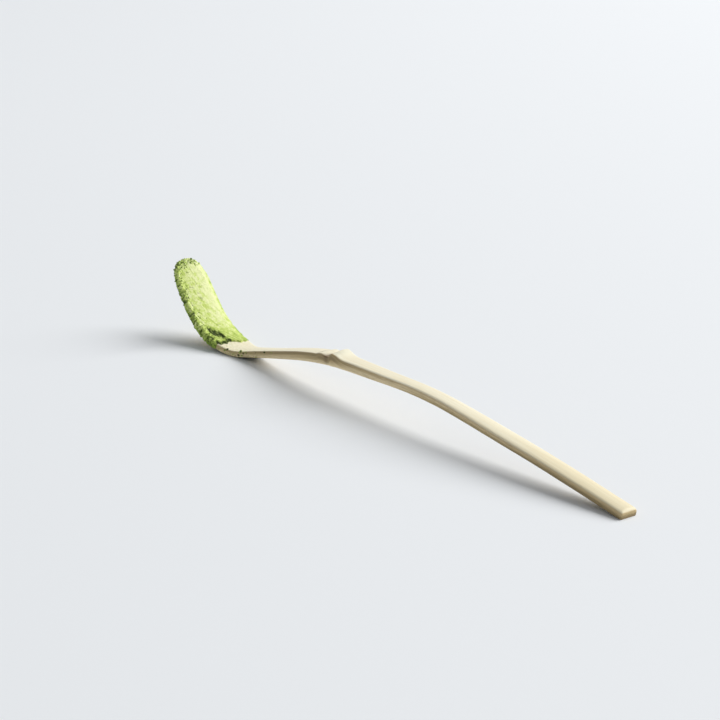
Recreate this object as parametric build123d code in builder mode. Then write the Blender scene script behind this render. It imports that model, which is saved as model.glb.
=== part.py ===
"""Chashaku: a bamboo tea scoop lying at rest, with the powdered tea that clings to its bowl.

Frame: +X runs from the bowl to the cut end of the handle, +Y across the strip, +Z up.
The origin is on the table, under the middle of the scoop's box. Millimetres and degrees.
"""

import os
from math import acos, atan2, cos, degrees, hypot, radians, sin

from build123d import *

# Side view: the back of the strip, which rests on its heel and on the end of its handle
heel_radius = 15.0  # back of the bend, from the heel to the neck
bend_radius = 28.0  # back of the bend, from the heel to the bowl
bowl_lean = 47.0  # slope of the back where the bend runs into the bowl
bowl_radius = 45.0  # back of the bowl, from the bend to the tip
bowl_turn = 18.5  # how far the bowl curls up from there to the tip
neck_rise = 12.6  # slope of the neck, from the bend up to the node
neck_length = 23.7  # straight back of the neck, from the bend to the turn at the node
node_radius = 138.0  # back of the turn at the node
stem_length = 18.7  # straight back of the handle, past that turn
droop_radius = 146.0  # back of the handle where it bends down
handle_droop = 7.5  # how far it bends down there
tail_length = 59.9  # back of the handle, from there to the cut end
tail_radius = 900.0  # slight curve of that last stretch

# Widths across the strip
bowl_width = 10.2
crease_width = 9.2
heel_width = 8.1
shoulder_width = 6.6
neck_width = 4.8
node_width = 5.5
stem_width = 5.6
waist_width = 4.8
handle_width = 5.3
end_width = 4.95

# Thicknesses from the back to the face
tip_thickness = 1.2
bowl_thickness = 1.6
bend_thickness = 1.9
neck_thickness = 2.2
node_thickness = 2.75
ridge_thickness = 3.95
stem_thickness = 2.5
waist_thickness = 2.15
handle_thickness = 1.8
end_thickness = 2.0

# Rounded edges
blade_edge = 0.3  # face of the bowl and the neck
handle_edge = 0.75  # face of the handle
back_edge = 0.6  # back of the whole strip
end_edge = 0.4  # cut end

# Where the strip changes width and thickness, along its back from the heel
shoulder_start = -14.0
crease = -3.0
shoulder_end = 4.2
neck_narrow = 19.0
nose_along = 44.6  # the plane at the node where the handle begins

# The rounded end of the bowl, seen square to its face
tip_taper_length = 11.0
tip_taper = 1.0  # how far each side comes in
tip_corner = 2.6
tip_sag = 0.7

# The node, along the strip: the sheath scar, a groove, then the ridge that the handle begins with
scar_length = 3.6
scar_height = 0.3
scar_root = 0.5  # how deep the scar is set in the face
groove_length = 1.8
node_overhang = 0.1  # how far the scar and the ridge stand out at each side
ridge_crest = 1.6  # from the start of the ridge to its top
ridge_length = 5.2  # from the start of the ridge to where it has run out
ridge_root = 0.9  # how deep the ridge is set in the handle's face
ridge_edge = 0.5  # rounding of its sides
waist_reach = 25.0  # from the start of the ridge to the narrow place of the handle

# Flats worn on the back, where the scoop touches the table
heel_flat_depth = 0.12
end_flat_depth = 0.3

# Powdered tea on the bowl
tea_thickness = 0.4  # on the face
tea_edge_thickness = 0.2  # over the sides and the tip
tea_wrap = 0.6  # how far down the sides it reaches, as a share of the thickness
tea_foot = -5.0  # along the back from the heel, where the tea stops at the sides
tea_foot_sag = 1.1  # how far it draws back in the middle
tea_foot_radius = 12.0
tea_edge = 0.4  # rounding of its rim

# Crumbs of tea that stand on the coat
crumb_radius = 0.45
crumb_sink = 0.3  # how deep a crumb sits, as a share of its radius
crumb_inset = 1.3  # row of crumbs at the tip, from the end of the bowl
tip_crumb_count = 7
foot_crumb_count = 5
crescent_start = 0.38  # row of crumbs over the foot, as shares of the width
crescent_share = 0.34
crescent_high = 5.4  # the start of that row, from the foot of the tea
crescent_fall = 2.6


def on_arc(x, z, slope, length, radius):
    """Follow a back that curves up at a radius, or down at a negative one, from a point and slope."""
    after = slope + degrees(length / radius)
    x_after = x + radius * (sin(radians(after)) - sin(radians(slope)))
    z_after = z + radius * (cos(radians(slope)) - cos(radians(after)))
    return x_after, z_after, after


def on_straight(x, z, slope, length):
    """Follow a straight back from a point and slope."""
    return x + length * cos(radians(slope)), z + length * sin(radians(slope)), slope


# The slope at which the handle leaves the node, so that its end comes down to the table
bend_rise = heel_radius * (1 - cos(radians(neck_rise)))
neck_top = bend_rise + neck_length * sin(radians(neck_rise))
droop_length = droop_radius * radians(handle_droop)
stem_point = on_straight(0, 0, 0, stem_length)
droop_point = on_arc(*stem_point, droop_length, -droop_radius)
handle_reach, handle_fall, handle_turn = on_arc(*droop_point, tail_length, -tail_radius)
level_part = node_radius + handle_fall
node_level = node_radius * cos(radians(neck_rise)) + heel_flat_depth - end_flat_depth - neck_top
handle_tilt = atan2(handle_reach, level_part) - acos(node_level / hypot(level_part, handle_reach))

# Lengths along the back, measured from the heel: the bowl is negative
bowl_start = -bend_radius * radians(bowl_lean)
tip_along = bowl_start - bowl_radius * radians(bowl_turn)
bowl_middle = (tip_along + bowl_start) / 2
neck_start = heel_radius * radians(neck_rise)
node_start = neck_start + neck_length
node_end = node_start + node_radius * (radians(neck_rise) - handle_tilt)
stem_end = node_end + stem_length
tail_start = stem_end + droop_length
end_along = tail_start + tail_length
groove_along = nose_along - groove_length
scar_along = groove_along - scar_length
ridge_end = nose_along + ridge_length
ridge_half_thickness = (ridge_thickness + stem_thickness) / 2
waist_along = nose_along + waist_reach
handle_along = (waist_along + end_along) / 2


def back_point(along):
    """X, Z and slope of the back, from the heel, at a length along it."""
    if along < bowl_start:
        return on_arc(*on_arc(0, 0, 0, bowl_start, bend_radius), along - bowl_start, bowl_radius)
    if along < 0:
        return on_arc(0, 0, 0, along, bend_radius)
    if along < neck_start:
        return on_arc(0, 0, 0, along, heel_radius)
    point = on_arc(0, 0, 0, neck_start, heel_radius)
    if along < node_start:
        return on_straight(*point, along - neck_start)
    point = on_straight(*point, neck_length)
    if along < node_end:
        return on_arc(*point, along - node_start, -node_radius)
    point = on_arc(*point, node_end - node_start, -node_radius)
    if along < stem_end:
        return on_straight(*point, along - node_end)
    point = on_straight(*point, stem_length)
    if along < tail_start:
        return on_arc(*point, along - stem_end, -droop_radius)
    point = on_arc(*point, droop_length, -droop_radius)
    return on_arc(*point, along - tail_start, -tail_radius)


# The middle of the scoop's box, between the back of the tip and the top of the cut end
end_x, end_z, end_slope = back_point(end_along)
middle_x = (back_point(tip_along)[0] + end_x - end_thickness * sin(radians(end_slope))) / 2


def strip_point(along, height):
    """X and Z of a point at a height over the back, at a length along it."""
    x, z, slope = back_point(along)
    lean = radians(slope)
    return x - middle_x - height * sin(lean), z - heel_flat_depth + height * cos(lean)


def side_point(along, width):
    """X and Y of a point on the far side of the strip, at a length along its back."""
    return strip_point(along, 0)[0], width / 2


def face_plane(along, height):
    """The plane along the strip at a height over its back: local X across, local Y towards the tip."""
    x, z = strip_point(along, height)
    lean = radians(back_point(along)[2])
    return Plane(origin=(x, 0, z), x_dir=(0, 1, 0), z_dir=(-sin(lean), 0, cos(lean)))


def size_at(rows, along):
    """A size at a length along the back, read between the rows of lengths and sizes around it."""
    for (start, first), (end, last) in zip(rows, rows[1:]):
        if along <= end:
            return first + (last - first) * (along - start) / (end - start)
    return rows[-1][1]


def back_arc(start, end):
    """One stretch of the back in the side view."""
    return ThreePointArc(strip_point(start, 0), strip_point((start + end) / 2, 0), strip_point(end, 0))


def face_line(rows, start, end, height):
    """The face in the side view, raised by a height, as a smooth line from one length to another."""
    steps = 24
    places = [start + (end - start) * step / steps for step in range(steps + 1)]
    return Spline(*[strip_point(along, size_at(rows, along) + height) for along in places])


def tip_waste(growth):
    """What lies past the tapered and rounded end of the bowl, seen square to its tip."""
    half = bowl_width / 2 + growth
    corner = (half - tip_taper, growth - tip_sag)
    root = -tip_taper_length - tip_corner
    with BuildSketch(face_plane(tip_along, -bend_thickness)) as waste:
        Rectangle(2 * bowl_width, -2 * root)
        with BuildSketch(mode=Mode.SUBTRACT) as outline:
            with BuildLine():
                Polyline((0, root), (half, root), (half, -tip_taper_length))
                TangentArc((half, -tip_taper_length), corner, tangent=(0, 1))
                ThreePointArc(corner, (0, growth), (-corner[0], corner[1]))
                TangentArc((-half, -tip_taper_length), (-corner[0], corner[1]), tangent=(0, 1))
                Polyline((-half, -tip_taper_length), (-half, root), (0, root))
            make_face()
            fillet(outline.vertices().group_by(Axis.Y)[-1], tip_corner + growth)
    return waste.sketch


def blade_plan(growth):
    """The bowl and the neck from above, grown on each side."""
    before_tip = strip_point(tip_along, 0)[0] - bowl_width
    past_node = strip_point(nose_along, 0)[0] + bowl_width
    with BuildSketch(Plane.XY.offset(-handle_thickness)) as plan:
        with BuildLine():
            bowl_side = side_point(shoulder_start, bowl_width + 2 * growth)
            node_side = side_point(groove_along, node_width + 2 * growth)
            Polyline((before_tip, 0), (before_tip, bowl_side[1]), bowl_side)
            Spline(
                bowl_side,
                side_point(crease, crease_width + 2 * growth),
                side_point(0, heel_width + 2 * growth),
                side_point(shoulder_end, shoulder_width + 2 * growth),
                side_point(neck_narrow, neck_width + 2 * growth),
                node_side,
                tangents=[(1, 0), (1, 0)],
            )
            Polyline(node_side, (past_node, node_side[1]), (past_node, 0))
            mirror(about=Plane.XZ)
        make_face()
    return plan.sketch


def faces_up(face):
    """Whether a face of the strip is on its face side."""
    return face.normal_at().Z > 0.5


def faces_down(face):
    """Whether a face of the strip is on its back."""
    return face.normal_at().Z < -0.3


# Thickness along the back, for the two stretches of the face that meet at the node
blade_face = [
    (tip_along, tip_thickness),
    (bowl_middle, bowl_thickness),
    (bowl_start, bend_thickness),
    (shoulder_end, bend_thickness),
    (neck_narrow, neck_thickness),
    (scar_along, node_thickness),
    (nose_along, node_thickness),
]
handle_face = [
    (nose_along, stem_thickness),
    (ridge_end, stem_thickness),
    (waist_along, waist_thickness),
    (handle_along, handle_thickness),
    (end_along, end_thickness),
]

with BuildPart() as blade:
    with BuildSketch(Plane.XZ.offset(-bowl_width)):
        with BuildLine():
            back_arc(tip_along, bowl_start)
            back_arc(bowl_start, 0)
            back_arc(0, neck_start)
            Line(strip_point(neck_start, 0), strip_point(node_start, 0))
            back_arc(node_start, nose_along)
            Line(strip_point(nose_along, 0), strip_point(nose_along, node_thickness))
            face_line(blade_face, nose_along, tip_along, 0)
            Line(strip_point(tip_along, tip_thickness), strip_point(tip_along, 0))
        make_face()
    extrude(amount=2 * bowl_width)
    extrude(blade_plan(0), amount=bowl_radius, mode=Mode.INTERSECT)
    extrude(tip_waste(0), amount=tip_taper_length, mode=Mode.SUBTRACT)
    face_sides = blade.faces().sort_by(SortBy.AREA)[-1].edges().filter_by(Axis.Y, reverse=True)
    fillet(face_sides, blade_edge)
    back_sides = blade.faces().filter_by(faces_down).edges().filter_by(Axis.Y, reverse=True)
    fillet(back_sides, back_edge)

with BuildPart() as scar:
    with BuildSketch(Plane.XZ.offset(-node_width / 2 - node_overhang)):
        with BuildLine():
            scar_start = strip_point(scar_along, node_thickness)
            scar_top = strip_point((scar_along + groove_along) / 2, node_thickness + scar_height)
            scar_end = strip_point(groove_along, node_thickness)
            ThreePointArc(scar_start, scar_top, scar_end)
            Polyline(
                scar_end,
                strip_point(groove_along, node_thickness - scar_root),
                strip_point(scar_along, node_thickness - scar_root),
                scar_start,
            )
        make_face()
    extrude(amount=node_width + 2 * node_overhang)
    fillet(scar.faces().sort_by(SortBy.AREA)[-1].edges().filter_by(Axis.Y, reverse=True), blade_edge)

with BuildPart() as ridge:
    with BuildSketch(Plane.XZ.offset(-stem_width / 2 - node_overhang)):
        with BuildLine():
            ridge_start = strip_point(nose_along, node_thickness)
            ridge_top = strip_point(nose_along + ridge_crest, ridge_thickness)
            ridge_half = strip_point(nose_along + (ridge_crest + ridge_length) / 2, ridge_half_thickness)
            ridge_foot = strip_point(ridge_end, stem_thickness)
            ridge_front = ThreePointArc(ridge_start, ridge_top, ridge_half)
            TangentArc(ridge_half, ridge_foot, tangent=ridge_front % 1)
            Polyline(
                ridge_foot,
                strip_point(ridge_end, stem_thickness - ridge_root),
                strip_point(nose_along, stem_thickness - ridge_root),
                ridge_start,
            )
        make_face()
    extrude(amount=stem_width + 2 * node_overhang)
    fillet(ridge.faces().filter_by(faces_up).edges().filter_by(Axis.Y, reverse=True), ridge_edge)

with BuildPart() as handle:
    with BuildSketch(Plane.XZ.offset(-bowl_width)):
        with BuildLine():
            back_arc(nose_along, node_end)
            Line(strip_point(node_end, 0), strip_point(stem_end, 0))
            back_arc(stem_end, tail_start)
            back_arc(tail_start, end_along)
            Line(strip_point(end_along, 0), strip_point(end_along, end_thickness))
            face_line(handle_face, end_along, nose_along, 0)
            Line(strip_point(nose_along, stem_thickness), strip_point(nose_along, 0))
        make_face()
    extrude(amount=2 * bowl_width)
    with BuildSketch(Plane.XY.offset(-handle_thickness)):
        with BuildLine():
            before_nose = side_point(scar_along, stem_width)
            past_end = side_point(end_along, end_width)[0] + bowl_width
            Line((before_nose[0], 0), before_nose)
            Spline(
                before_nose,
                side_point(ridge_end, stem_width),
                side_point(waist_along, waist_width),
                side_point(handle_along, handle_width),
                side_point(end_along, end_width),
                (past_end, end_width / 2),
            )
            Line((past_end, end_width / 2), (past_end, 0))
            mirror(about=Plane.XZ)
        make_face()
    extrude(amount=bowl_radius, mode=Mode.INTERSECT)
    face_sides = handle.faces().filter_by(faces_up).sort_by(SortBy.AREA)[-1].edges()
    fillet(face_sides.filter_by(Axis.Y, reverse=True), handle_edge)
    back_sides = handle.faces().filter_by(faces_down).edges().filter_by(Axis.Y, reverse=True)
    fillet(back_sides, back_edge)
    fillet(handle.faces().sort_by(Axis.X)[-1].edges(), end_edge)

with BuildPart() as bamboo_scoop:
    add(blade.part)
    add(scar.part)
    add(handle.part)
    add(ridge.part)
    with Locations((0, 0, -handle_thickness / 2)):
        Box(2 * end_along, bowl_width, handle_thickness, mode=Mode.SUBTRACT)

with BuildPart() as matcha_coat:
    tea_start = tip_along - tea_edge_thickness
    tea_hem = [(along, size * (1 - tea_wrap)) for along, size in blade_face]
    with BuildSketch(Plane.XZ.offset(-bowl_width)):
        with BuildLine():
            tea_face = face_line(blade_face, tea_start, tea_foot, tea_thickness)
            tea_under = face_line(tea_hem, tea_foot, tea_start, 0)
            Line(tea_face @ 1, tea_under @ 0)
            Line(tea_under @ 1, tea_face @ 0)
        make_face()
    extrude(amount=2 * bowl_width)
    extrude(blade_plan(tea_edge_thickness), amount=bowl_radius, mode=Mode.INTERSECT)
    extrude(tip_waste(tea_edge_thickness), amount=tip_taper_length, mode=Mode.SUBTRACT)
    face_sides = matcha_coat.faces().filter_by(faces_up).sort_by(SortBy.AREA)[-1].edges()
    fillet(face_sides.filter_by(Axis.Y, reverse=True), tea_edge)
    with BuildSketch(face_plane(tea_foot, 0)):
        with Locations((0, tea_foot_sag - tea_foot_radius)):
            Circle(tea_foot_radius)
    extrude(amount=2 * bend_thickness, mode=Mode.SUBTRACT)
    add(bamboo_scoop.part, mode=Mode.SUBTRACT)

with BuildPart() as tip_crumbs:
    for number in range(tip_crumb_count):
        share = number / (tip_crumb_count - 1) - 0.5
        across = share * (bowl_width - 2 * tip_taper - tip_corner)
        radius = crumb_radius * (0.8 + 0.2 * sin(5 * number))
        along = tip_along + crumb_inset + tip_corner * share**2 + crumb_radius * cos(7 * number)
        x, z = strip_point(along, size_at(blade_face, along) + tea_thickness + radius * (1 - crumb_sink))
        with Locations((x, across, z)):
            Sphere(radius)
    add(matcha_coat.part, mode=Mode.SUBTRACT)

with BuildPart() as foot_crumbs:
    for number in range(foot_crumb_count):
        share = number / (foot_crumb_count - 1)
        across = bowl_width * (crescent_share * share - crescent_start)
        radius = crumb_radius * (0.8 + 0.2 * cos(5 * number))
        along = tea_foot - crescent_high + crescent_fall * share + crumb_radius * sin(7 * number)
        x, z = strip_point(along, size_at(blade_face, along) + tea_thickness + radius * (1 - crumb_sink))
        with Locations((x, across, z)):
            Sphere(radius)
    add(matcha_coat.part, mode=Mode.SUBTRACT)

os.makedirs("parts", exist_ok=True)
bamboo_scoop.part.label = "bamboo_scoop"
matcha_coat.part.label = "matcha_coat"
tip_crumbs.part.label = "tip_crumbs"
foot_crumbs.part.label = "foot_crumbs"
export_step(bamboo_scoop.part, "parts/bamboo_scoop.step")
export_step(matcha_coat.part, "parts/matcha_coat.step")
export_step(tip_crumbs.part, "parts/tip_crumbs.step")
export_step(foot_crumbs.part, "parts/foot_crumbs.step")
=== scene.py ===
"""Looks of a bamboo tea scoop that lies at rest, with powdered green tea on its bowl.

The strip's path and its sections are read from the CAD solid, so the bamboo and the tea follow it.
Metres, in the part's own frame: +X from the bowl to the cut end, +Y across, +Z up.
The near side is the one towards -Y. Lengths along the strip are counted from the heel, towards the cut end.
"""

import math

import bpy
import numpy as np
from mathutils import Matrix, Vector
from mathutils.bvhtree import BVHTree


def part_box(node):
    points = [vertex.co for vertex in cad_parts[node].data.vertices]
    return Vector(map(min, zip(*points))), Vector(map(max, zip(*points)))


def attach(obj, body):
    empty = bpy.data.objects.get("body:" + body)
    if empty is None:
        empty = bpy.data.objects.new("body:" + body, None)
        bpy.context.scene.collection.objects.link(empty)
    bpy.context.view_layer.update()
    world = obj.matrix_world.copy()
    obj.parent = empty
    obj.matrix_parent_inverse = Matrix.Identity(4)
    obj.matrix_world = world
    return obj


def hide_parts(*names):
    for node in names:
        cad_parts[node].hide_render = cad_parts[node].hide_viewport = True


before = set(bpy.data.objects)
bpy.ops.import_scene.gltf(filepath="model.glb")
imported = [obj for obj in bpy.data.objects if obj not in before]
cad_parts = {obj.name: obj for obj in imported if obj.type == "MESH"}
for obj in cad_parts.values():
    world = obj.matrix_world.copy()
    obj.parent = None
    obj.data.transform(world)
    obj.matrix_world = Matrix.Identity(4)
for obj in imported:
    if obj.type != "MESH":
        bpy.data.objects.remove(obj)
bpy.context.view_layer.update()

MM = 0.001
ACROSS = np.array((0.0, 1.0, 0.0))
# Near-black green: painted shade in the gaps and pits of the tea, and the deepest tone of the coarse crumbs
DARK_TEA_AND_SHADE = (0.05, 0.075, 0.012)


# Noise and steps on arrays, the same on each run


def lattice(i, j, seed):
    """A scattered value from -1 to 1 for each whole place of a plane."""
    wave = np.sin(i * 127.1 + j * 311.7 + seed * 74.7) * 43758.5453
    return 2 * (wave - np.floor(wave)) - 1


def ripple(x, y, seed):
    """Smooth noise from -1 to 1 over a plane."""
    i, j = np.floor(x), np.floor(y)
    u, v = x - i, y - j
    u, v = u * u * (3 - 2 * u), v * v * (3 - 2 * v)
    low = lattice(i, j, seed) * (1 - u) + lattice(i + 1, j, seed) * u
    high = lattice(i, j + 1, seed) * (1 - u) + lattice(i + 1, j + 1, seed) * u
    return low * (1 - v) + high * v


def rough(x, y, seed, octaves=3):
    """Noise with finer noise on it."""
    return sum(ripple(x * 2**k, y * 2**k, seed + 13 * k) / 2**k for k in range(octaves)) / 1.5


def ease(low, high, x):
    """A smooth step, from 0 at low to 1 at high."""
    t = np.clip((x - low) / (high - low), 0, 1)
    return t * t * (3 - 2 * t)


def bump(x, middle, spread):
    """A smooth hill of height 1."""
    return np.exp(-(((x - middle) / spread) ** 2))


# Reading the strip from the CAD solid


def solid(node):
    """The wall of a CAD node, for rays."""
    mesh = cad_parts[node].data
    return BVHTree.FromPolygons([v.co for v in mesh.vertices], [p.vertices for p in mesh.polygons])


bamboo_wall = solid("bamboo_scoop")
tea_wall = solid("matcha_coat")


def reach(wall, start, direction, limit=0.03):
    """How far a ray goes before it meets a wall, or None."""
    return wall.ray_cast(Vector(start), Vector(direction), limit)[3]


def run_along(x, z):
    """Length along a path at each of its points."""
    return np.concatenate(([0], np.cumsum(np.hypot(np.diff(x), np.diff(z)))))


def carried_on(row, count=80):
    """A row of values, carried straight on past both its ends."""
    spare = np.arange(1, count + 1)
    before = row[0] + (row[0] - row[1]) * spare
    after = row[-1] + (row[-1] - row[-2]) * spare
    return np.concatenate((before[::-1], row, after))


def read_spine():
    """The middle of the strip's back, carried on past both ends: length from the heel, X, Z and slope."""
    low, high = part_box("bamboo_scoop")
    under, samples, passes = 10 * MM, 2400, 40
    x = np.linspace(low.x + 1.5 * MM, high.x - 2 * MM, samples)
    z = np.array([reach(bamboo_wall, (place, 0, -under), (0, 0, 1)) for place in x]) - under
    length = run_along(x, z)
    even = np.arange(0, length[-1], 0.1 * MM)
    x, z = np.interp(even, length, x), np.interp(even, length, z)
    for _ in range(passes):
        x[1:-1] = (x[:-2] + 2 * x[1:-1] + x[2:]) / 4
        z[1:-1] = (z[:-2] + 2 * z[1:-1] + z[2:]) / 4
    x, z = carried_on(x), carried_on(z)
    length = run_along(x, z)
    heel = length[np.argmin(np.where(x < 0, z, 1))]
    return length - heel, x, z, np.unwrap(np.arctan2(np.gradient(z), np.gradient(x)))


spine = read_spine()


def along_spine(s):
    """A point of the back, and the direction from there out of the face."""
    x, z, slope = (np.interp(s, spine[0], row) for row in spine[1:])
    return np.array((x, 0, z)), np.array((-math.sin(slope), 0, math.cos(slope)))


def heights(s):
    """Heights of the back and the face over the spine, mid-strip, or None past its ends."""
    below, above = 2 * MM, 6 * MM
    point, out = along_spine(s)
    to_back = reach(bamboo_wall, point - below * out, out, limit=6 * MM)
    to_face = reach(bamboo_wall, point + above * out, -out, limit=8 * MM)
    if to_back is None or to_face is None:
        return None
    return to_back - below, above - to_face


def find_end(inside, outside, halvings=24):
    """The length along the spine at which the strip ends."""
    for _ in range(halvings):
        middle = (inside + outside) / 2
        inside, outside = (inside, middle) if heights(middle) is None else (middle, outside)
    return inside


def find_nose():
    """The length along the spine at which the face steps up most, to the node's ridge."""
    step, window = 0.1 * MM, 6
    places = np.arange(tip + 2 * MM, end - 2 * MM, step)
    faces = np.array([heights(s)[1] for s in places])
    return places[np.argmax(faces[window:] - faces[:-window]) + window // 2]


tip = find_end(spine[0][0] + 10 * MM, spine[0][0])
end = find_end(spine[0][-1] - 10 * MM, spine[0][-1])
nose = find_nose()


def unit_outline(*runs):
    """Points round the square from -1 to 1, from corner to corner with a count on each run."""
    rows = []
    for start, stop, count in runs:
        share = np.arange(count)[:, None] / count
        rows.append(np.array(start) * (1 - share) + np.array(stop) * share)
    return np.concatenate(rows)


def read_sections(places, outline):
    """The bamboo's wall at each place, on rays from the section's middle through an outline's points."""
    points = np.zeros((len(places), len(outline), 3))
    for row, s in enumerate(places):
        point, out = along_spine(s)
        back, face = heights(s)
        middle = point + out * (back + face) / 2
        side = reach(bamboo_wall, middle, ACROSS) or MM
        for column, (a, b) in enumerate(outline):
            ray = ACROSS * a * side + out * b * (face - back) / 2
            ray = ray / np.linalg.norm(ray)
            points[row, column] = middle + ray * (reach(bamboo_wall, middle, ray) or 0)
    return points


def evened(points):
    """Points of open rings, each moved towards its two neighbours round the ring."""
    moved = points.copy()
    moved[:, 1:-1] = (points[:, :-2] + 2 * points[:, 1:-1] + points[:, 2:]) / 4
    return moved


def relax(points, passes, closed):
    """Evens out the facets of a traced skin, along the strip and once around it."""
    for _ in range(passes):
        points[1:-1] = (points[:-2] + 2 * points[1:-1] + points[2:]) / 4
    if closed:
        return (np.roll(points, 1, 1) + 2 * points + np.roll(points, -1, 1)) / 4
    return evened(points)


def settle(points, places):
    """The hand-made bowl: leant back a little, the far corner of its tip rounder than the near one."""
    wide = points[:, :, 1] / np.abs(points[:, :, 1]).max(1, keepdims=True)
    lean = 0.35 * MM * bump(places, -13 * MM, 7 * MM)
    inset = 1.25 * MM * ease(5.5 * MM, 0, places - tip)
    points[:, :, 0] -= lean[:, None]
    points[:, :, 1] -= inset[:, None] * ease(0.1, 1, wide)
    return points


def normals_of(points, closed):
    """Directions out of a traced skin."""
    forward = np.gradient(points, axis=0)
    if closed:
        around = np.roll(points, -1, 1) - np.roll(points, 1, 1)
    else:
        around = np.gradient(points, axis=1)
    cross = np.cross(forward, around)
    return cross / np.maximum(np.linalg.norm(cross, axis=2, keepdims=True), 1e-12)


class Trace:
    """Rings of points on the solid, and where each lies.

    s is its length along the strip, wide its share of the half width, out its direction out of the wall,
    and tilt how far that agrees with the face's, from 1 on the face to -1 on the back.
    """

    def __init__(self, places, points, closed, least_half):
        frames = [along_spine(place) for place in places]
        self.places = places
        self.points = points
        self.backs = np.array([back for back, out in frames])[:, None, :]
        self.face_out = np.array([out for back, out in frames])[:, None, :]
        self.out = normals_of(points, closed)
        self.tilt = (self.out * self.face_out).sum(2)
        self.s = np.repeat(places[:, None], points.shape[1], 1)
        half = np.abs(points[:, :, 1]).max(1, keepdims=True)
        self.wide = points[:, :, 1] / np.maximum(half, least_half)


def skin_mesh(name, places, points, around, values):
    """A closed tube through rings of points, with a point at each end.

    It has a UV map of the lengths along the strip and around it, and named values.
    """
    rings, count = points.shape[:2]
    first, last = rings * count, rings * count + 1
    vertices = np.concatenate((points.reshape(-1, 3), [points[0].mean(0), points[-1].mean(0)]))
    uv = np.stack((np.repeat(places[:, None], count + 1, 1), around), 2)
    faces, corners = [], []
    for i in range(rings - 1):
        for j in range(count):
            k = (j + 1) % count
            faces.append((i * count + j, (i + 1) * count + j, (i + 1) * count + k, i * count + k))
            corners += [uv[i, j], uv[i + 1, j], uv[i + 1, j + 1], uv[i, j + 1]]
    for j in range(count):
        k = (j + 1) % count
        faces.append((first, j, k))
        corners += [uv[0, j], uv[0, j], uv[0, j + 1]]
        faces.append((last, (rings - 1) * count + k, (rings - 1) * count + j))
        corners += [uv[-1, j], uv[-1, j + 1], uv[-1, j]]
    mesh = bpy.data.meshes.new(name)
    mesh.from_pydata([tuple(v) for v in vertices], [], faces)
    layer = mesh.uv_layers.new(name="grain")
    layer.data.foreach_set("uv", np.array(corners, np.float32).ravel())
    for key, field in values.items():
        attribute = mesh.attributes.new(key, "FLOAT", "POINT")
        whole = np.concatenate((field.ravel(), (field[0].mean(), field[-1].mean())))
        attribute.data.foreach_set("value", whole.astype(np.float32))
    mesh.shade_smooth()
    piece = bpy.data.objects.new(name, mesh)
    bpy.context.scene.collection.objects.link(piece)
    return piece


def lengths_around(points):
    """How far round its section each point lies from the middle of the face, the first again at the end."""
    closed = np.concatenate((points, points[:, :1]), axis=1)
    run = np.cumsum(np.linalg.norm(np.diff(closed, axis=1), axis=2), axis=1)
    run = np.concatenate((np.zeros((len(points), 1)), run), axis=1)
    return run - run[:, -1:] / 2


# Shaders written as sums


class Value:
    """A socket whose sums add Math nodes."""

    def __init__(self, finish, socket):
        self.finish = finish
        self.socket = socket

    def math(self, operation, *others):
        sockets = dict(enumerate((self, *others)))
        return self.finish.node("ShaderNodeMath", {"operation": operation}, sockets)

    def __add__(self, other):
        return self.math("ADD", other)

    def __mul__(self, other):
        return self.math("MULTIPLY", other)

    def __sub__(self, other):
        return self.math("SUBTRACT", other)

    def __rsub__(self, other):
        return self.finish.node("ShaderNodeMath", {"operation": "SUBTRACT"}, {0: other, 1: self})

    __radd__ = __add__
    __rmul__ = __mul__

    def between(self, low, high):
        """A smooth step of this value, from 0 at low to 1 at high."""
        sockets = {"Value": self, "From Min": low, "From Max": high}
        return self.finish.node("ShaderNodeMapRange", {"interpolation_type": "SMOOTHSTEP"}, sockets)


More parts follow.
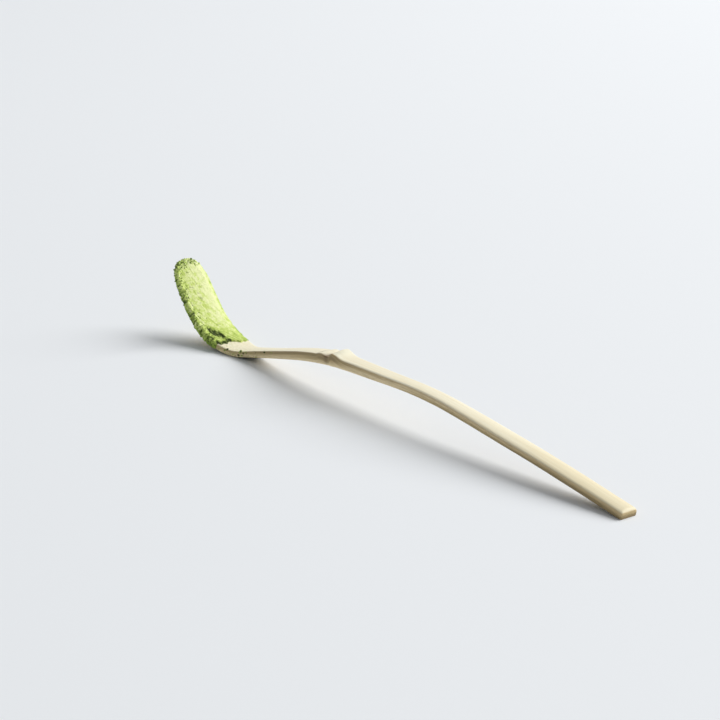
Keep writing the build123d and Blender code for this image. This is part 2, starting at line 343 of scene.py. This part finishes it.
class Finish:
    """A material, or the room's light, and the nodes that make it."""

    def __init__(self, owner):
        owner.use_nodes = True
        self.owner = owner
        self.tree = owner.node_tree
        self.tree.nodes.clear()

    def node(self, kind, settings, sockets, output=0):
        """Adds a node: its settings first, then the values or links of its sockets."""
        made = self.tree.nodes.new(kind)
        for key, setting in settings.items():
            if key == "stops":
                ramp = made.color_ramp.elements
                while len(ramp) < len(setting):
                    ramp.new(0.5)
                for stop, (position, colour) in zip(ramp, setting):
                    stop.position = position
                    stop.color = (*colour, 1)
            else:
                setattr(made, key, setting)
        for key, value in sockets.items():
            if isinstance(value, Value):
                self.tree.links.new(value.socket, made.inputs[key])
            else:
                made.inputs[key].default_value = value
        return Value(self, made.outputs[output])

    def close(self, kind, shader):
        """Ends the tree with an output node for a shader."""
        out = self.tree.nodes.new(kind)
        self.tree.links.new(shader.socket, out.inputs["Surface"])
        return self.owner

    def attribute(self, name):
        return self.node("ShaderNodeAttribute", {"attribute_name": name}, {}, "Fac")

    def grain(self):
        """Length along the strip and round it, in millimetres."""
        uv = self.node("ShaderNodeUVMap", {"uv_map": "grain"}, {})
        parts = self.tree.nodes.new("ShaderNodeSeparateXYZ")
        self.tree.links.new(uv.socket, parts.inputs[0])
        return Value(self, parts.outputs[0]) * 1000, Value(self, parts.outputs[1]) * 1000

    def noise(self, x, y, z=0.0, detail=3.0, roughness=0.5):
        """Noise over two or three values."""
        place = self.node("ShaderNodeCombineXYZ", {}, {0: x, 1: y, 2: z})
        sockets = {"Vector": place, "Scale": 1.0, "Detail": detail, "Roughness": roughness}
        return self.node("ShaderNodeTexNoise", {}, sockets)

    def noise_in_space(self, scale, detail=3.0, roughness=0.5):
        """Noise through the piece, with a number of cells to the millimetre."""
        place = self.node("ShaderNodeTexCoord", {}, {}, "Object")
        sockets = {"Vector": place, "Scale": scale * 1000, "Detail": detail, "Roughness": roughness}
        return self.node("ShaderNodeTexNoise", {}, sockets)

    def ramp(self, value, *stops):
        return self.node("ShaderNodeValToRGB", {"stops": stops}, {0: value}, "Color")

    def mix(self, share, first, second):
        """A mix of two colours, the second of which may be written out."""
        sockets = {0: share, 6: first, 7: second if isinstance(second, Value) else (*second, 1)}
        return self.node("ShaderNodeMix", {"data_type": "RGBA"}, sockets, 2)

    def surface(self, colour, roughness, height, depth):
        """Closes a material: one shader, with a bump of a depth in millimetres."""
        bumps = {"Strength": 1.0, "Distance": depth * MM, "Height": height}
        normal = self.node("ShaderNodeBump", {}, bumps)
        sockets = {"Base Color": colour, "Roughness": roughness, "Normal": normal}
        shader = self.node("ShaderNodeBsdfPrincipled", {}, sockets)
        return self.close("ShaderNodeOutputMaterial", shader)


def bamboo_finish():
    """Scraped bamboo: pale satin skin on the face, brown cut fibres at the sides with painted shade and
    bounce light, a painted highlight on the node's ridge, painted shade at the node and under the heel.
    """
    finish = Finish(bpy.data.materials.new("scraped_bamboo"))
    along, around = finish.grain()
    skin = finish.attribute("skin")
    fine = finish.noise(along * 0.06, around * 5.0, 0.0, 4.0, 0.6)
    broad = finish.noise(along * 0.03, around * 1.3, 4.0)
    cloud = finish.noise(along * 0.12, around * 0.35, 9.0)
    dash = finish.noise(along * 0.22, around * 6.5, 15.0, 2.0).between(0.56, 0.7)
    fibre = fine * 0.5 + broad * 0.5
    face = finish.ramp(
        fibre,
        (0.3, (0.83, 0.73, 0.49)),
        (0.47, (0.91, 0.84, 0.63)),
        (0.62, (0.95, 0.91, 0.72)),
    )
    face = finish.mix(cloud.between(0.5, 0.75) * 0.35, face, (0.87, 0.77, 0.52))
    face = finish.mix(along.between(90, 140) * 0.55, face, (0.79, 0.68, 0.42))
    # Paler on the ridge just past the nose: a painted highlight
    face = finish.mix(finish.attribute("ridge") * 0.6, face, (0.88, 0.87, 0.69))
    # The sides carry painted shade and painted bounce light, from the shade value
    side = finish.ramp(
        fibre + (finish.attribute("shade") - 0.5) * 0.5,
        (0.26, (0.32, 0.235, 0.11)),
        (0.5, (0.62, 0.48, 0.25)),
        (0.74, (0.92, 0.76, 0.47)),
    )
    side = finish.mix(dash * 0.4, side, (0.26, 0.175, 0.08))
    colour = finish.mix(skin, side, face)
    colour = finish.mix(finish.attribute("edge") * 0.75, colour, (0.66, 0.50, 0.26))
    # Painted shade: near-black brown in the notch of the sheath scar and the dip before the nose
    colour = finish.mix(finish.attribute("groove") * 0.9, colour, (0.12, 0.065, 0.02))
    tint = finish.attribute("dust") * finish.noise_in_space(1.5, 4.0, 0.6).between(0.42, 0.68)
    colour = finish.mix(tint * 0.5, colour, (0.40, 0.42, 0.12))
    # Under the heel: tea dust and painted contact shadow, in near-black green
    colour = finish.mix(finish.attribute("heel") * 0.8, colour, (0.075, 0.08, 0.025))
    roughness = 0.68 - skin * 0.14 + (fine - 0.5) * 0.2
    height = fine * 0.7 + dash * (1 - skin) * 0.5 + broad * 0.4
    return finish.surface(colour, roughness, height, 0.05)


def tea_finish():
    """Powdered tea: matt, in pale streaks where it is pressed smooth, deeper green where it is crumbly,
    with painted light towards the far side and painted shade between clumps and in its gaps.
    """
    pale, middle, deep = (0.86, 0.91, 0.48), (0.61, 0.74, 0.185), (0.29, 0.42, 0.06)
    finish = Finish(bpy.data.materials.new("pressed_tea"))
    along, around = finish.grain()
    loose = finish.attribute("loose")
    relief = finish.attribute("relief")
    streak = finish.noise(along * 0.22, (around - along * 0.3) * 2.2, 3.0, 3.0, 0.6)
    grain = finish.noise_in_space(3.2, 4.0, 0.75)
    clump = finish.noise_in_space(0.7, 3.0, 0.6)
    mottle = streak * 0.45 + grain * 0.45 + clump * 0.5 - 0.2
    # Painted light and shade: paler where lit is high, darker where loose, and paler on raised clumps than
    # between them, most where loose
    tone = mottle + finish.attribute("lit") * 0.14 - loose * 0.1 + relief * (0.05 + loose * 0.16)
    colour = finish.ramp(tone, (0.3, deep), (0.46, middle), (0.62, pale))
    # Near-black in the gaps of the tea, its pits and its dark specks: painted shade in the gaps and pits
    colour = finish.mix(finish.attribute("crack"), colour, DARK_TEA_AND_SHADE)
    height = grain * 0.7 + clump * 0.3
    return finish.surface(colour, 0.95, height, 0.16)


def crumb_finish(name, pale, deep):
    """Loose crumbs of tea, matt, paler on some than on others."""
    finish = Finish(bpy.data.materials.new(name))
    tone = finish.attribute("crumb_tone") + (finish.noise_in_space(7.0, 3.0) - 0.5) * 0.5
    colour = finish.ramp(tone, (0.3, deep), (0.7, pale))
    return finish.surface(colour, 0.95, finish.noise_in_space(9.0, 3.0), 0.08)


# The strip of bamboo


def strip_places():
    """Lengths along the strip for its rings, close together at both ends and at the node."""
    first = np.array((0.004, 0.015, 0.03, 0.06, 0.1, 0.15, 0.2, 0.26, 0.33, 0.42, 0.55, 0.75)) * MM
    last = np.array((0.5, 0.38, 0.28, 0.2, 0.13, 0.08, 0.04, 0.015, 0.004)) * MM
    stretches = (
        (tip + 1.0 * MM, 0, 0.22 * MM),
        (0, nose - 8 * MM, 0.22 * MM),
        (nose - 8 * MM, nose + 5 * MM, 0.09 * MM),
        (nose + 5 * MM, end - 0.6 * MM, 0.25 * MM),
    )
    rows = [np.arange(start, stop, step) for start, stop, step in stretches]
    return np.concatenate((tip + first, *rows, end - last))


def node_dents(trace, skin):
    """At the node: the notch of the sheath scar, and the dip before the nose, wider on the near side."""
    notch = bump(trace.s, nose - 5.6 * MM, 0.5 * MM) * skin
    nearer = ease(-0.1, -0.9, trace.wide)
    dip = bump(trace.s, nose - MM * (0.8 + 0.7 * nearer), MM * (0.7 + 0.45 * nearer))
    return notch, dip


def bamboo_relief(trace, skin, around, notch, dip):
    """How far the wood stands over the solid: a crowned face, the knife's waves, and dents at the node."""
    s, wide, tilt = trace.s, trace.wide, trace.tilt
    cut_wave, fine_wave, node_wave = 0.05 * MM, 0.02 * MM, 0.07 * MM
    notch_depth, ditch_depth, ridge_wear = 0.14 * MM, 0.34 * MM, 0.5 * MM
    crown = 0.1 + 0.3 * ease(60 * MM, 120 * MM, s)
    at_node = ease(nose - 9 * MM, nose - 6 * MM, s) * ease(nose + 2 * MM, nose - 1 * MM, s)
    worn_ridge = bump(s, nose + 0.9 * MM, 1.5 * MM) * ease(0.3, 0.7, tilt) * ease(0.4, -0.9, wide)
    ditch = dip * ease(0.1, 0.6, tilt) * ease(0.9, -0.6, wide)
    lift = MM * crown * skin * (1 - wide**2)
    lift += cut_wave * (1 - skin) * rough(s / (14 * MM), around / (1.6 * MM), 3)
    lift += fine_wave * rough(s / (9 * MM), around / (0.7 * MM), 5)
    lift += node_wave * at_node * rough(s / (0.9 * MM), around / (1.1 * MM), 8)
    lift -= notch_depth * notch + ditch_depth * ditch
    lift -= ridge_wear * worn_ridge
    return lift * ease(0, 0.8 * MM, s - tip) * ease(0, 0.8 * MM, end - s)


def bamboo_values(trace, points, skin, notch, dip):
    """Where the wood is skin or cut fibre, its painted shade and bounce light on the sides, a painted
    highlight on the node's ridge, painted shade in the node's dip and notch, tea dust and painted shade
    under the heel, dust of tea, and specks of it.
    """
    s, wide, tilt = trace.s, trace.wide, trace.tilt
    low = 1 - ((points - trace.backs) * trace.face_out).sum(2) / (2.3 * MM)
    past_node = ease(45 * MM, 90 * MM, s)
    # Painted shade and bounce light on the sides: before the node darker high up and paler low down, past
    # it paler high up and darker low down, paler around 72 mm and darker towards the cut end
    shade = (1 - past_node) * ease(0, 0.95, low) + past_node * ease(1.0, 0.1, low)
    shade += 0.3 * bump(s, 72 * MM, 22 * MM) - 0.35 * ease(100 * MM, 135 * MM, s)
    # Darker on the back before the node, which dims its warm bounce onto the table
    shade -= 0.5 * (1 - past_node) * ease(-0.6, -0.85, tilt)
    # Underside near the heel: tea dust and painted contact shadow
    heel = ease(11 * MM, 5 * MM, s) * ease(-9 * MM, -5 * MM, s) * ease(-0.3, -0.75, tilt)
    specks = ease(22 * MM, 3 * MM, s) * ease(-6 * MM, -3 * MM, s) * ease(-0.6, -0.9, wide)
    specks *= (1 - 0.8 * skin) * ease(-0.7, -0.3, tilt)
    specks += 0.5 * heel * ease(0.4, -0.4, wide)
    specks *= ease(0.3 * MM, 0.6 * MM, points[:, :, 2])
    return {
        "skin": skin,
        "shade": shade,
        "edge": bump(tilt, 0.48, 0.2),
        # A painted highlight on the ridge just past the nose
        "ridge": bump(s, nose + 2.4 * MM, 1.7 * MM) * skin,
        # Painted shade in the notch and the dip at the node
        "groove": np.clip(0.7 * notch + dip * ease(-0.45, 0.35, tilt) * ease(1.0, -0.4, wide), 0, 1),
        "heel": heel,
        "dust": ease(26 * MM, -3 * MM, s) * (0.35 + 0.65 * ease(0.3, -0.7, wide)),
        "specks": specks,
    }


def bamboo_strip():
    """The whole scoop: one strip with its node, its rounded edges and its scraped sides."""
    outline = unit_outline(
        ((0, -1), (-1, -1), 13),
        ((-1, -1), (-1, 1), 10),
        ((-1, 1), (1, 1), 34),
        ((1, 1), (1, -1), 10),
        ((1, -1), (0, -1), 13),
    )
    places = strip_places()
    points = relax(read_sections(places, outline), passes=2, closed=True)
    past_ridge = ease(nose + 0.8 * MM, nose + 2.2 * MM, places) * ease(nose + 9 * MM, nose + 6 * MM, places)
    evened_out = relax(points.copy(), passes=260, closed=True)
    points = points + (evened_out - points) * past_ridge[:, None, None]
    trace = Trace(places, points, closed=True, least_half=0.2 * MM)
    around = lengths_around(points)
    skin = ease(0.42, 0.86, trace.tilt)
    notch, dip = node_dents(trace, skin)
    lift = bamboo_relief(trace, skin, around[:, :-1], notch, dip)
    points = points + trace.out * lift[:, :, None]
    points[:, :, 2] = np.maximum(points[:, :, 2], 0)
    points = settle(points, places)
    values = bamboo_values(trace, points, skin, notch, dip)
    piece = skin_mesh("bamboo_strip", places, points, around, values)
    piece.data.materials.append(bamboo_finish())
    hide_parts("bamboo_scoop")
    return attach(piece, "root")


# The coat of tea


def trace_bowl():
    """The bowl's wall under the tea: the near side whole, the face, and most of the far side."""
    outline = unit_outline(
        ((-0.8, -1), (-1, -1), 5),
        ((-1, -1), (-1, 1), 26),
        ((-1, 1), (1, 1), 120),
        ((1, 1), (1, -0.55), 16),
    )
    first = np.array((0.006, 0.02, 0.04, 0.07, 0.11, 0.16, 0.22, 0.3, 0.38, 0.47)) * MM
    places = np.concatenate((tip + first, np.arange(tip + 0.55 * MM, -2.6 * MM, 0.085 * MM)))
    points = relax(read_sections(places, outline), passes=2, closed=False)
    rounded, rounding_passes = points, 110
    for _ in range(rounding_passes):
        rounded = evened(rounded)
    # Rounded in full at the near corner, and not at all from the middle of the face on
    near_corner = ease(85, 55, np.arange(len(outline)))
    points = points + (rounded - points) * near_corner[None, :, None]
    return Trace(places, points, closed=False, least_half=0.5 * MM)


def coat_thickness(trace):
    """Thickness of the solid's coat over the bowl, carried on past its foot and evened out."""
    far, foot, passes = 2 * MM, -6.5 * MM, 6
    thick = np.zeros(trace.s.shape)
    for place in np.ndindex(thick.shape):
        out = trace.out[place]
        met = reach(tea_wall, trace.points[place] + far * out, -out, far)
        thick[place] = 0 if met is None else far - met
    whole = np.searchsorted(trace.places, foot)
    thick[whole:] = thick[whole]
    for _ in range(passes):
        thick = (np.roll(thick, 1, 1) + 2 * thick + np.roll(thick, -1, 1)) / 4
        thick[1:-1] = (thick[:-2] + 2 * thick[1:-1] + thick[2:]) / 4
    return thick


def coat_foot(trace, run):
    """The ragged line along the strip at which the tea stops."""
    across = np.array((-5, -4, 0, 2, 4.5)) * MM
    along = np.array((-5.6, -4.7, -4.4, -3.9, -3.6)) * MM
    teeth = 0.7 * rough(run / (0.8 * MM), trace.s / (3 * MM), 25)
    bays = 0.5 * rough(run / (2.6 * MM), trace.s / (8 * MM), 26)
    return np.interp(trace.points[:, :, 1], across, along) + MM * (teeth + bays)


def coat_gaps(trace, run, foot):
    """Two gaps in the tea: a high one over the near half of the bowl, and a low one along the foot."""
    s, y = trace.s, trace.points[:, :, 1]
    across = np.array((-3.7, -3.1, -2.5, -1.9, -1.1, -0.8)) * MM
    along = np.array((-11.2, -10.5, -9.8, -9.0, -8.5, -7.6)) * MM
    wave = 0.5 * MM * rough(run / (0.9 * MM), s / (0.9 * MM), 24)
    high = bump(s + wave, np.interp(y, across, along), 2.1 * MM)
    high = high * ease(-4.2 * MM, -3.5 * MM, y) * ease(-0.6 * MM, -1.1 * MM, y)
    low = bump(s, foot - 0.45 * MM, 0.75 * MM)
    low = low * ease(-4.9 * MM, -4.3 * MM, y) * ease(0, -0.6 * MM, y)
    return high, low


def tea_light(trace):
    """Painted light on the tea: how pale it is, most so high up, at the tip and towards the far side."""
    s, wide = trace.s, trace.wide
    high_up = ease(-5 * MM, -20 * MM, s)
    lit = (0.25 * wide - 0.7) * (1 - high_up) + (0.7 * wide + 0.4) * high_up
    lit -= (0.35 + 0.75 * high_up) * ease(0.65, 1.0, wide)
    # From low on the near side to just over its corner, counted in points of the outline
    up_the_side = np.interp(np.arange(s.shape[1]), (8, 34), (-0.7, 0.6))
    return lit + (up_the_side * ease(-0.7, -1.0, wide) + 0.5 * ease(3 * MM, 1 * MM, s - tip))


def tea_coat():
    """The coat of tea on the bowl: pressed smooth in streaks, crumbly at the edges, ragged at its foot."""
    trace = trace_bowl()
    places, points, s, wide = trace.places, trace.points, trace.s, trace.wide
    from_tip = s - tip
    run = np.cumsum(np.linalg.norm(np.diff(points, axis=1, prepend=points[:, :1]), axis=2), axis=1)
    run = run - run.mean(1, keepdims=True)

    def clods(size, seed):
        return rough(run / size, s / size, seed)

    streaks = rough((run - 0.3 * s) / (0.55 * MM), s / (6 * MM), 20)
    grain = clods(0.45 * MM, 21)
    clumps = clods(1.0 * MM, 22)
    on_face = ease(0.3, 0.8, trace.tilt)
    on_side = ease(-0.84, -0.96, wide) * ease(-4.6 * MM, -7 * MM, s) * ease(0.3 * MM, 2 * MM, from_tip)
    foot = coat_foot(trace, run)
    high_gap, low_gap = coat_gaps(trace, run, foot)
    gap = np.maximum(high_gap, low_gap)

    ragged_tip = from_tip + 0.8 * MM * rough(run / (1.2 * MM), from_tip / (1.2 * MM), 30)
    ragged_wide = wide + 0.12 * clods(0.9 * MM, 31)
    loose = ease(2.6 * MM, 0.5 * MM, ragged_tip) + ease(-0.72, -0.98, ragged_wide)
    loose = np.clip(loose + 0.5 * ease(0.9, 1.0, wide), 0, 1)
    pits = loose * ease(-0.12, -0.42, grain + 0.4 * clumps)
    specks = ease(0.5, 0.68, clods(0.7 * MM, 40)) * ease(0.6, -0.6, wide)
    # The near-black mask: painted shade in the two gaps and in the pits between loose crumbs, and dark
    # specks on the near half
    crack = np.clip(2.8 * gap + 1.1 * grain - 0.95, 0, 1) * ease(0.1, 0.3, gap)
    crack = np.clip(crack + 0.85 * pits + 0.6 * specks, 0, 1)

    crust, closed_up, least = 0.33 * MM, 0.3 * MM, 0.12 * MM
    swell, wrap, tucked_in = 0.25 * MM, 0.32 * MM, 0.08 * MM
    thick = np.maximum(coat_thickness(trace), crust * on_side)
    cover = ease(0.25, 0.75, thick / closed_up + 0.45 * clods(0.8 * MM, 23))
    cover *= ease(foot + 0.2 * MM, foot - 0.25 * MM, s)
    depth = np.maximum(thick, least) * (1 - 0.7 * ease(0.6, 1.0, wide))
    depth += swell * on_face * (1 - wide**2)
    depth += wrap * on_side * ease(1 * MM, 6 * MM, from_tip)
    pressed = 0.035 * streaks * on_face + 0.035 * grain + 0.03 * clumps
    crumbly = loose * (0.08 * clumps + 0.15 * grain)
    depth += MM * (pressed + crumbly)
    depth -= MM * (0.45 * crack * gap + 0.15 * pits)
    depth = depth * cover - tucked_in * (1 - cover)

    top = points + trace.out * depth[:, :, None]
    # A few points inside the bamboo close each ring
    hidden = slice(8, -8, 20)
    under = points[:, ::-1][:, hidden] - trace.out[:, ::-1][:, hidden] * 0.25 * MM
    ring = settle(np.concatenate((top, under), axis=1), places)
    values = {
        "loose": loose,
        "relief": 0.55 * grain + 0.6 * clumps,
        "crack": crack,
        "lit": tea_light(trace),
        "tip_rim": ease(3.4 * MM, 0.6 * MM, from_tip) * cover * (0.25 + 0.75 * ease(0.9, -0.5, wide)),
        "near_edge": ease(-0.55, -0.9, wide) * cover * ease(-5 * MM, -7 * MM, s),
        "crescent": np.clip(high_gap + low_gap, 0, 1) * cover,
    }
    nothing = np.zeros(under.shape[:2])
    values = {key: np.concatenate((field, nothing), axis=1) for key, field in values.items()}
    around = np.concatenate((run, np.repeat(run[:, -1:], under.shape[1] + 1, 1)), axis=1)
    piece = skin_mesh("tea_coat", places, ring, around, values)
    piece.data.materials.append(tea_finish())
    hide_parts("matcha_coat")
    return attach(piece, "root")


# Crumbs of tea


def crumb_tree():
    """Geometry nodes that scatter crumbs of tea over a skin, where a named value of it says."""
    tree = bpy.data.node_groups.new("tea_crumbs", "GeometryNodeTree")
    sockets = {}
    for name, kind in (
        ("Skin", "NodeSocketGeometry"),
        ("Where", "NodeSocketString"),
        ("Crumbs to the square mm", "NodeSocketFloat"),
        ("Smallest", "NodeSocketFloat"),
        ("Largest", "NodeSocketFloat"),
        ("Seed", "NodeSocketInt"),
        ("Finish", "NodeSocketMaterial"),
    ):
        sockets[name] = tree.interface.new_socket(name, in_out="INPUT", socket_type=kind).identifier
    tree.interface.new_socket("Crumbs", in_out="OUTPUT", socket_type="NodeSocketGeometry")

    def add(kind, settings, links, output=0):
        """Adds a node and gives one of its outputs."""
        made = tree.nodes.new(kind)
        for key, value in settings.items():
            setattr(made, key, value)
        for key, value in links.items():
            if isinstance(value, bpy.types.NodeSocket):
                tree.links.new(value, made.inputs[key])
            else:
                made.inputs[key].default_value = value
        return made.outputs[output]

    def random(kind, links, output):
        return add("FunctionNodeRandomValue", {"data_type": kind}, links, output)

    multiply, power = {"operation": "MULTIPLY"}, {"operation": "POWER"}
    scale, subtract = {"operation": "SCALE"}, {"operation": "SUBTRACT"}
    given = tree.nodes.new("NodeGroupInput").outputs
    to_square_metres = 1e6
    any_turn = (6.3, 6.3, 6.3)
    lump_scale, lump_height = 3800.0, 0.4 * MM

    where = add("GeometryNodeInputNamedAttribute", {"data_type": "FLOAT"}, {"Name": given["Where"]})
    count = add("ShaderNodeMath", multiply, {0: where, 1: given["Crumbs to the square mm"]})
    density = add("ShaderNodeMath", multiply, {0: count, 1: to_square_metres})
    spread = {"Mesh": given["Skin"], "Density": density, "Seed": given["Seed"]}
    points = add("GeometryNodeDistributePointsOnFaces", {"distribute_method": "RANDOM"}, spread)
    tone = random("FLOAT", {2: 0.0, 3: 1.0, "Seed": 50}, 1)
    toned = add(
        "GeometryNodeStoreNamedAttribute",
        {"data_type": "FLOAT", "domain": "POINT"},
        {"Geometry": points, "Name": "crumb_tone", "Value": tone},
    )

    ball = add("GeometryNodeMeshUVSphere", {}, {"Segments": 8, "Rings": 6, "Radius": 0.5})
    pick = random("FLOAT", {2: 0.0, 3: 1.0, "Seed": given["Seed"]}, 1)
    few_large = add("ShaderNodeMath", power, {0: pick, 1: 2.5})
    sizes = {"Value": few_large, "To Min": given["Smallest"], "To Max": given["Largest"]}
    size = add("ShaderNodeMapRange", {}, sizes)
    turn = random("FLOAT_VECTOR", {0: (0, 0, 0), 1: any_turn}, 0)
    squash = random("FLOAT_VECTOR", {0: (0.7, 0.7, 0.7), 1: (1.3, 1.3, 1.3)}, 0)
    shape = add("ShaderNodeVectorMath", scale, {0: squash, "Scale": size})
    placing = {"Points": toned, "Instance": ball, "Rotation": turn, "Scale": shape}
    placed = add("GeometryNodeInstanceOnPoints", {}, placing)
    real = add("GeometryNodeRealizeInstances", {}, {"Geometry": placed})

    lumps = add("ShaderNodeTexNoise", {}, {"Scale": lump_scale, "Detail": 2.0}, "Color")
    centred = add("ShaderNodeVectorMath", subtract, {0: lumps, 1: (0.5, 0.5, 0.5)})
    shift = add("ShaderNodeVectorMath", scale, {0: centred, "Scale": lump_height})
    lumpy = add("GeometryNodeSetPosition", {}, {"Geometry": real, "Offset": shift})
    smooth = add("GeometryNodeSetShadeSmooth", {}, {0: lumpy})
    finished = add("GeometryNodeSetMaterial", {}, {"Geometry": smooth, "Material": given["Finish"]})
    result = tree.nodes.new("NodeGroupOutput")
    tree.links.new(finished, result.inputs[0])
    return tree, sockets


def scatter_crumbs(name, skin, crumbs, stands_for, inputs):
    """A piece of many crumbs on a skin."""
    tree, sockets = crumbs
    host = bpy.data.objects.new(name + "_host", skin.data.copy())
    bpy.context.scene.collection.objects.link(host)
    modifier = host.modifiers.new("crumbs", "NODES")
    modifier.node_group = tree
    for key, value in inputs.items():
        modifier[sockets[key]] = value
    evaluated = host.evaluated_get(bpy.context.evaluated_depsgraph_get())
    mesh = bpy.data.meshes.new_from_object(evaluated)
    mesh.name = name
    bpy.data.objects.remove(host)
    piece = bpy.data.objects.new(name, mesh)
    bpy.context.scene.collection.objects.link(piece)
    if stands_for:
        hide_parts(*stands_for)
    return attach(piece, "root")


def all_crumbs(strip, coat):
    """The crumbs along the tip, in the gaps near the foot, along the near edge and on the neck."""
    tree = crumb_tree()
    dark = crumb_finish("coarse_tea", (0.40, 0.50, 0.12), DARK_TEA_AND_SHADE)
    green = crumb_finish("loose_tea", (0.64, 0.81, 0.21), (0.14, 0.22, 0.03))
    for name, skin, finish, stands_for, where, count, smallest, largest, seed in (
        ("tip_crumb_lumps", coat, green, ["tip_crumbs"], "tip_rim", 5.0, 0.12, 0.6, 4),
        ("foot_crumb_lumps", coat, dark, ["foot_crumbs"], "crescent", 3.0, 0.15, 0.6, 7),
        ("near_edge_crumbs", coat, green, [], "near_edge", 5.0, 0.1, 0.36, 11),
        ("neck_specks", strip, dark, [], "specks", 1.8, 0.12, 0.7, 15),
    ):
        inputs = {
            "Where": where,
            "Crumbs to the square mm": count,
            "Smallest": smallest * MM,
            "Largest": largest * MM,
            "Seed": seed,
            "Finish": finish,
        }
        scatter_crumbs(name, skin, tree, stands_for, inputs)


# The table, the camera and the light


def floor():
    """A wide pale table."""
    half = 3.0
    corners = [(-half, -half, 0), (half, -half, 0), (half, half, 0), (-half, half, 0)]
    mesh = bpy.data.meshes.new("table")
    mesh.from_pydata(corners, [], [(0, 1, 2, 3)])
    piece = bpy.data.objects.new("table", mesh)
    bpy.context.scene.collection.objects.link(piece)
    material = bpy.data.materials.new("pale_table")
    material.use_nodes = True
    shader = material.node_tree.nodes["Principled BSDF"]
    shader.inputs["Base Color"].default_value = (0.83, 0.857, 0.885, 1)
    shader.inputs["Roughness"].default_value = 0.8
    mesh.materials.append(material)


def camera():
    """The photograph's view, low from the handle's end and the near side."""
    turn, rise, distance = math.radians(52.6), math.radians(17.7), 0.55
    target = Vector((-0.0372, 0.0224, 0))
    back = Vector((math.sin(turn) * math.cos(rise), -math.cos(turn) * math.cos(rise), math.sin(rise)))
    data = bpy.data.cameras.new("view")
    data.sensor_width = 36
    data.lens = 100.2
    data.clip_start = 0.01
    piece = bpy.data.objects.new("view", data)
    piece.location = target + back * distance
    piece.rotation_euler = (-back).to_track_quat("-Z", "Y").to_euler()
    bpy.context.scene.collection.objects.link(piece)
    bpy.context.scene.camera = piece


def lights():
    """One broad window behind the far side, and a room that lights softly and looks pale."""
    data = bpy.data.lights.new("window", "AREA")
    data.shape = "DISK"
    data.size = 3.8
    data.energy = 202
    data.color = (1.0, 0.985, 0.97)
    direction, distance = Vector((0.35, 1.08, 1.0)).normalized(), 4.0
    piece = bpy.data.objects.new("window", data)
    piece.location = direction * distance
    piece.rotation_euler = direction.to_track_quat("Z", "Y").to_euler()
    bpy.context.scene.collection.objects.link(piece)
    room = Finish(bpy.data.worlds.new("room"))
    kinds = ("Camera", "Glossy", "Transmission")
    rays = [room.node("ShaderNodeLightPath", {}, {}, f"Is {kind} Ray") for kind in kinds]
    fill, more_where_seen = 0.28, 0.55
    strength = fill + more_where_seen * sum(rays).math("MINIMUM", 1)
    glow = room.node("ShaderNodeBackground", {}, {"Color": (0.94, 0.97, 1.0, 1), "Strength": strength})
    bpy.context.scene.world = room.close("ShaderNodeOutputWorld", glow)


bpy.context.scene.view_settings.view_transform = "Standard"
camera()
lights()
floor()
all_crumbs(bamboo_strip(), tea_coat())
